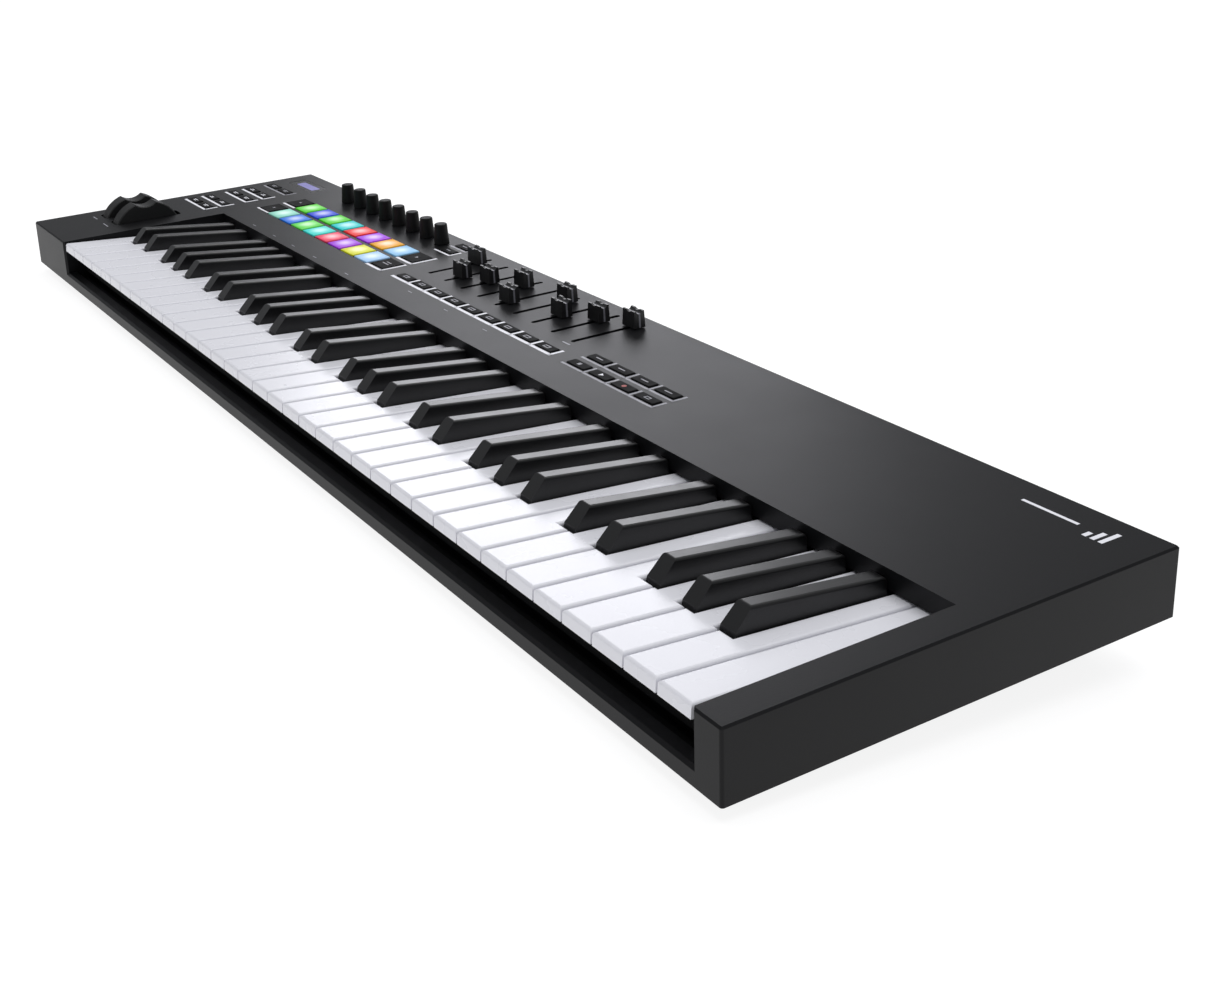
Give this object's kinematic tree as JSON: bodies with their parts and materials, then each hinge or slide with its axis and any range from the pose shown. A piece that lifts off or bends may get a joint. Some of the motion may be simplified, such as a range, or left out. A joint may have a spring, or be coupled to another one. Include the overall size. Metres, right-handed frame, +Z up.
{
  "type": "synthesizer keyboard controller",
  "caption": "Slim synthesizer keyboard with full-size keys, lit pads, knobs, faders, buttons, a small display and two wheels on a panel that leans towards the player.",
  "frame": {"origin": "middle of the bounding box on the surface the keyboard stands on", "axes": "+X to the player's right along the keyboard, +Y away from the player, +Z up"},
  "size_m": [0.952, 0.2604, 0.0775],
  "materials": {
    "case_shell": "fine-grained black moulded plastic",
    "case_floor": "black moulded plastic",
    "frame_plastic": "black moulded plastic",
    "steel": "plain steel",
    "felt": "dark red felt strip",
    "circuit_board": "green circuit board",
    "dome_rubber": "translucent grey silicone rubber",
    "pot_plastic": "black moulded plastic",
    "display_glass": "lit display panel",
    "window": "dark clear window",
    "foot_rubber": "black rubber",
    "wheel_rubber": "soft black rubber",
    "pad_rubber": "translucent silicone rubber lit from below",
    "button_rubber": "matte black rubber",
    "knob_plastic": "matte black fluted plastic",
    "fader_plastic": "satin black plastic",
    "white_keys": "glossy white plastic",
    "black_keys": "satin black plastic"
  },
  "bodies": {
    "case": {"top_case": "case_shell", "bottom_case": "case_floor", "keybed_frame": "frame_plastic", "key_pivot_rod": "steel", "key_felts": "felt", "key_contact_board": "circuit_board", "contact_domes": "dome_rubber", "control_board": "circuit_board", "main_board": "circuit_board", "slide_pots": "steel", "rotary_pots": "pot_plastic", "wheel_bracket": "frame_plastic", "pitch_spring": "steel", "display_module": "display_glass", "display_window": "window", "usb_socket": "steel", "midi_socket": "pot_plastic", "pedal_jack": "pot_plastic", "rubber_feet": "foot_rubber", "case_screws": "steel"},
    "pitch_wheel": {"pitch_wheel": "wheel_rubber"},
    "mod_wheel": {"mod_wheel": "wheel_rubber"},
    "drum_pads": {"drum_pads": "pad_rubber"},
    "mode_buttons": {"mode_buttons": "button_rubber"},
    "pad_buttons": {"pad_buttons": "button_rubber"},
    "fader_buttons": {"fader_buttons": "button_rubber"},
    "transport_buttons": {"transport_buttons": "button_rubber"},
    "knob_1": {"knob_1": "knob_plastic"},
    "knob_2": {"knob_2": "knob_plastic"},
    "knob_3": {"knob_3": "knob_plastic"},
    "knob_4": {"knob_4": "knob_plastic"},
    "knob_5": {"knob_5": "knob_plastic"},
    "knob_6": {"knob_6": "knob_plastic"},
    "knob_7": {"knob_7": "knob_plastic"},
    "knob_8": {"knob_8": "knob_plastic"},
    "fader_1": {"fader_1": "fader_plastic"},
    "fader_2": {"fader_2": "fader_plastic"},
    "fader_3": {"fader_3": "fader_plastic"},
    "fader_4": {"fader_4": "fader_plastic"},
    "fader_5": {"fader_5": "fader_plastic"},
    "fader_6": {"fader_6": "fader_plastic"},
    "fader_7": {"fader_7": "fader_plastic"},
    "fader_8": {"fader_8": "fader_plastic"},
    "fader_9": {"fader_9": "fader_plastic"},
    "keys_cegb_1": {"keys_cegb_1": "white_keys"},
    "keys_dfa_1": {"keys_dfa_1": "white_keys"},
    "keys_sharps_1": {"keys_sharps_1": "black_keys"},
    "keys_cegb_2": {"keys_cegb_2": "white_keys"},
    "keys_dfa_2": {"keys_dfa_2": "white_keys"},
    "keys_sharps_2": {"keys_sharps_2": "black_keys"},
    "keys_cegb_3": {"keys_cegb_3": "white_keys"},
    "keys_dfa_3": {"keys_dfa_3": "white_keys"},
    "keys_sharps_3": {"keys_sharps_3": "black_keys"},
    "keys_cegb_4": {"keys_cegb_4": "white_keys"},
    "keys_dfa_4": {"keys_dfa_4": "white_keys"},
    "keys_sharps_4": {"keys_sharps_4": "black_keys"},
    "keys_cegb_5": {"keys_cegb_5": "white_keys"},
    "keys_dfa_5": {"keys_dfa_5": "white_keys"},
    "keys_sharps_5": {"keys_sharps_5": "black_keys"},
    "key_top_c": {"key_top_c": "white_keys"}
  },
  "joints": [
    {"name": "keys_cegb_1_press", "type": "hinge", "parent": "case", "child": "keys_cegb_1", "pos_m": [0, 0.07755, 0.03689], "axis": [1, 0, 0], "range_deg": [0, 2.8], "stiffness_Nm_per_rad": 2, "springref_deg": -8.59},
    {"name": "keys_dfa_1_press", "type": "hinge", "parent": "case", "child": "keys_dfa_1", "pos_m": [0, 0.07755, 0.03689], "axis": [1, 0, 0], "range_deg": [0, 2.8], "stiffness_Nm_per_rad": 1.5, "springref_deg": -8.59},
    {"name": "keys_sharps_1_press", "type": "hinge", "parent": "case", "child": "keys_sharps_1", "pos_m": [0, 0.07755, 0.03689], "axis": [1, 0, 0], "range_deg": [0, 2.8], "stiffness_Nm_per_rad": 3, "springref_deg": -8.59},
    {"name": "keys_cegb_2_press", "type": "hinge", "parent": "case", "child": "keys_cegb_2", "pos_m": [0, 0.07755, 0.03689], "axis": [1, 0, 0], "range_deg": [0, 2.8], "stiffness_Nm_per_rad": 2, "springref_deg": -8.59},
    {"name": "keys_dfa_2_press", "type": "hinge", "parent": "case", "child": "keys_dfa_2", "pos_m": [0, 0.07755, 0.03689], "axis": [1, 0, 0], "range_deg": [0, 2.8], "stiffness_Nm_per_rad": 1.5, "springref_deg": -8.59},
    {"name": "keys_sharps_2_press", "type": "hinge", "parent": "case", "child": "keys_sharps_2", "pos_m": [0, 0.07755, 0.03689], "axis": [1, 0, 0], "range_deg": [0, 2.8], "stiffness_Nm_per_rad": 3, "springref_deg": -8.59},
    {"name": "keys_cegb_3_press", "type": "hinge", "parent": "case", "child": "keys_cegb_3", "pos_m": [0, 0.07755, 0.03689], "axis": [1, 0, 0], "range_deg": [0, 2.8], "stiffness_Nm_per_rad": 2, "springref_deg": -8.59},
    {"name": "keys_dfa_3_press", "type": "hinge", "parent": "case", "child": "keys_dfa_3", "pos_m": [0, 0.07755, 0.03689], "axis": [1, 0, 0], "range_deg": [0, 2.8], "stiffness_Nm_per_rad": 1.5, "springref_deg": -8.59},
    {"name": "keys_sharps_3_press", "type": "hinge", "parent": "case", "child": "keys_sharps_3", "pos_m": [0, 0.07755, 0.03689], "axis": [1, 0, 0], "range_deg": [0, 2.8], "stiffness_Nm_per_rad": 3, "springref_deg": -8.59},
    {"name": "keys_cegb_4_press", "type": "hinge", "parent": "case", "child": "keys_cegb_4", "pos_m": [0, 0.07755, 0.03689], "axis": [1, 0, 0], "range_deg": [0, 2.8], "stiffness_Nm_per_rad": 2, "springref_deg": -8.59},
    {"name": "keys_dfa_4_press", "type": "hinge", "parent": "case", "child": "keys_dfa_4", "pos_m": [0, 0.07755, 0.03689], "axis": [1, 0, 0], "range_deg": [0, 2.8], "stiffness_Nm_per_rad": 1.5, "springref_deg": -8.59},
    {"name": "keys_sharps_4_press", "type": "hinge", "parent": "case", "child": "keys_sharps_4", "pos_m": [0, 0.07755, 0.03689], "axis": [1, 0, 0], "range_deg": [0, 2.8], "stiffness_Nm_per_rad": 3, "springref_deg": -8.59},
    {"name": "keys_cegb_5_press", "type": "hinge", "parent": "case", "child": "keys_cegb_5", "pos_m": [0, 0.07755, 0.03689], "axis": [1, 0, 0], "range_deg": [0, 2.8], "stiffness_Nm_per_rad": 2, "springref_deg": -8.59},
    {"name": "keys_dfa_5_press", "type": "hinge", "parent": "case", "child": "keys_dfa_5", "pos_m": [0, 0.07755, 0.03689], "axis": [1, 0, 0], "range_deg": [0, 2.8], "stiffness_Nm_per_rad": 1.5, "springref_deg": -8.59},
    {"name": "keys_sharps_5_press", "type": "hinge", "parent": "case", "child": "keys_sharps_5", "pos_m": [0, 0.07755, 0.03689], "axis": [1, 0, 0], "range_deg": [0, 2.8], "stiffness_Nm_per_rad": 3, "springref_deg": -8.59},
    {"name": "key_top_c_press", "type": "hinge", "parent": "case", "child": "key_top_c", "pos_m": [0, 0.07755, 0.03689], "axis": [1, 0, 0], "range_deg": [0, 2.8], "stiffness_Nm_per_rad": 0.5, "springref_deg": -8.59},
    {"name": "pitch_wheel_turn", "type": "hinge", "parent": "case", "child": "pitch_wheel", "pos_m": [-0.451, -0.0494, 0.03481], "axis": [1, 0, 0], "range_deg": [-45, 45], "stiffness_Nm_per_rad": 0.12},
    {"name": "mod_wheel_turn", "type": "hinge", "parent": "case", "child": "mod_wheel", "pos_m": [-0.423, -0.0494, 0.03481], "axis": [1, 0, 0], "range_deg": [-45, 45]},
    {"name": "knob_1_turn", "type": "hinge", "parent": "case", "child": "knob_1", "pos_m": [-0.3537, 0.10821, 0.06126], "axis": [0, -0.0785, 0.9969], "range_deg": [-150, 150]},
    {"name": "knob_2_turn", "type": "hinge", "parent": "case", "child": "knob_2", "pos_m": [-0.3296, 0.10821, 0.06126], "axis": [0, -0.0785, 0.9969], "range_deg": [-150, 150]},
    {"name": "knob_3_turn", "type": "hinge", "parent": "case", "child": "knob_3", "pos_m": [-0.3055, 0.10821, 0.06126], "axis": [0, -0.0785, 0.9969], "range_deg": [-150, 150]},
    {"name": "knob_4_turn", "type": "hinge", "parent": "case", "child": "knob_4", "pos_m": [-0.2814, 0.10821, 0.06126], "axis": [0, -0.0785, 0.9969], "range_deg": [-150, 150]},
    {"name": "knob_5_turn", "type": "hinge", "parent": "case", "child": "knob_5", "pos_m": [-0.2573, 0.10821, 0.06126], "axis": [0, -0.0785, 0.9969], "range_deg": [-150, 150]},
    {"name": "knob_6_turn", "type": "hinge", "parent": "case", "child": "knob_6", "pos_m": [-0.2332, 0.10821, 0.06126], "axis": [0, -0.0785, 0.9969], "range_deg": [-150, 150]},
    {"name": "knob_7_turn", "type": "hinge", "parent": "case", "child": "knob_7", "pos_m": [-0.2091, 0.10821, 0.06126], "axis": [0, -0.0785, 0.9969], "range_deg": [-150, 150]},
    {"name": "knob_8_turn", "type": "hinge", "parent": "case", "child": "knob_8", "pos_m": [-0.185, 0.10821, 0.06126], "axis": [0, -0.0785, 0.9969], "range_deg": [-150, 150]},
    {"name": "fader_1_slide", "type": "slide", "parent": "case", "child": "fader_1", "axis": [0, 0.9969, 0.0785], "range_m": [-0.037, 0.008]},
    {"name": "fader_2_slide", "type": "slide", "parent": "case", "child": "fader_2", "axis": [0, 0.9969, 0.0785], "range_m": [-0.011, 0.034]},
    {"name": "fader_3_slide", "type": "slide", "parent": "case", "child": "fader_3", "axis": [0, 0.9969, 0.0785], "range_m": [-0.0197, 0.0253]},
    {"name": "fader_4_slide", "type": "slide", "parent": "case", "child": "fader_4", "axis": [0, 0.9969, 0.0785], "range_m": [-0.0338, 0.0112]},
    {"name": "fader_5_slide", "type": "slide", "parent": "case", "child": "fader_5", "axis": [0, 0.9969, 0.0785], "range_m": [-0.0075, 0.0375]},
    {"name": "fader_6_slide", "type": "slide", "parent": "case", "child": "fader_6", "axis": [0, 0.9969, 0.0785], "range_m": [-0.0392, 0.0058]},
    {"name": "fader_7_slide", "type": "slide", "parent": "case", "child": "fader_7", "axis": [0, 0.9969, 0.0785], "range_m": [-0.0192, 0.0258]},
    {"name": "fader_8_slide", "type": "slide", "parent": "case", "child": "fader_8", "axis": [0, 0.9969, 0.0785], "range_m": [-0.0328, 0.0122]},
    {"name": "fader_9_slide", "type": "slide", "parent": "case", "child": "fader_9", "axis": [0, 0.9969, 0.0785], "range_m": [-0.044, 0.001]},
    {"name": "drum_pads_press", "type": "slide", "parent": "case", "child": "drum_pads", "axis": [0, 0.0785, -0.9969], "range_m": [0, 0.001], "stiffness_N_per_m": 5000, "springref_m": -0.002},
    {"name": "mode_buttons_press", "type": "slide", "parent": "case", "child": "mode_buttons", "axis": [0, 0.0785, -0.9969], "range_m": [0, 0.0007], "stiffness_N_per_m": 2500, "springref_m": -0.002},
    {"name": "pad_buttons_press", "type": "slide", "parent": "case", "child": "pad_buttons", "axis": [0, 0.0785, -0.9969], "range_m": [0, 0.0007], "stiffness_N_per_m": 2500, "springref_m": -0.002},
    {"name": "fader_buttons_press", "type": "slide", "parent": "case", "child": "fader_buttons", "axis": [0, 0.0785, -0.9969], "range_m": [0, 0.0007], "stiffness_N_per_m": 2500, "springref_m": -0.002},
    {"name": "transport_buttons_press", "type": "slide", "parent": "case", "child": "transport_buttons", "axis": [0, 0.0785, -0.9969], "range_m": [0, 0.0007], "stiffness_N_per_m": 2500, "springref_m": -0.002}
  ]
}
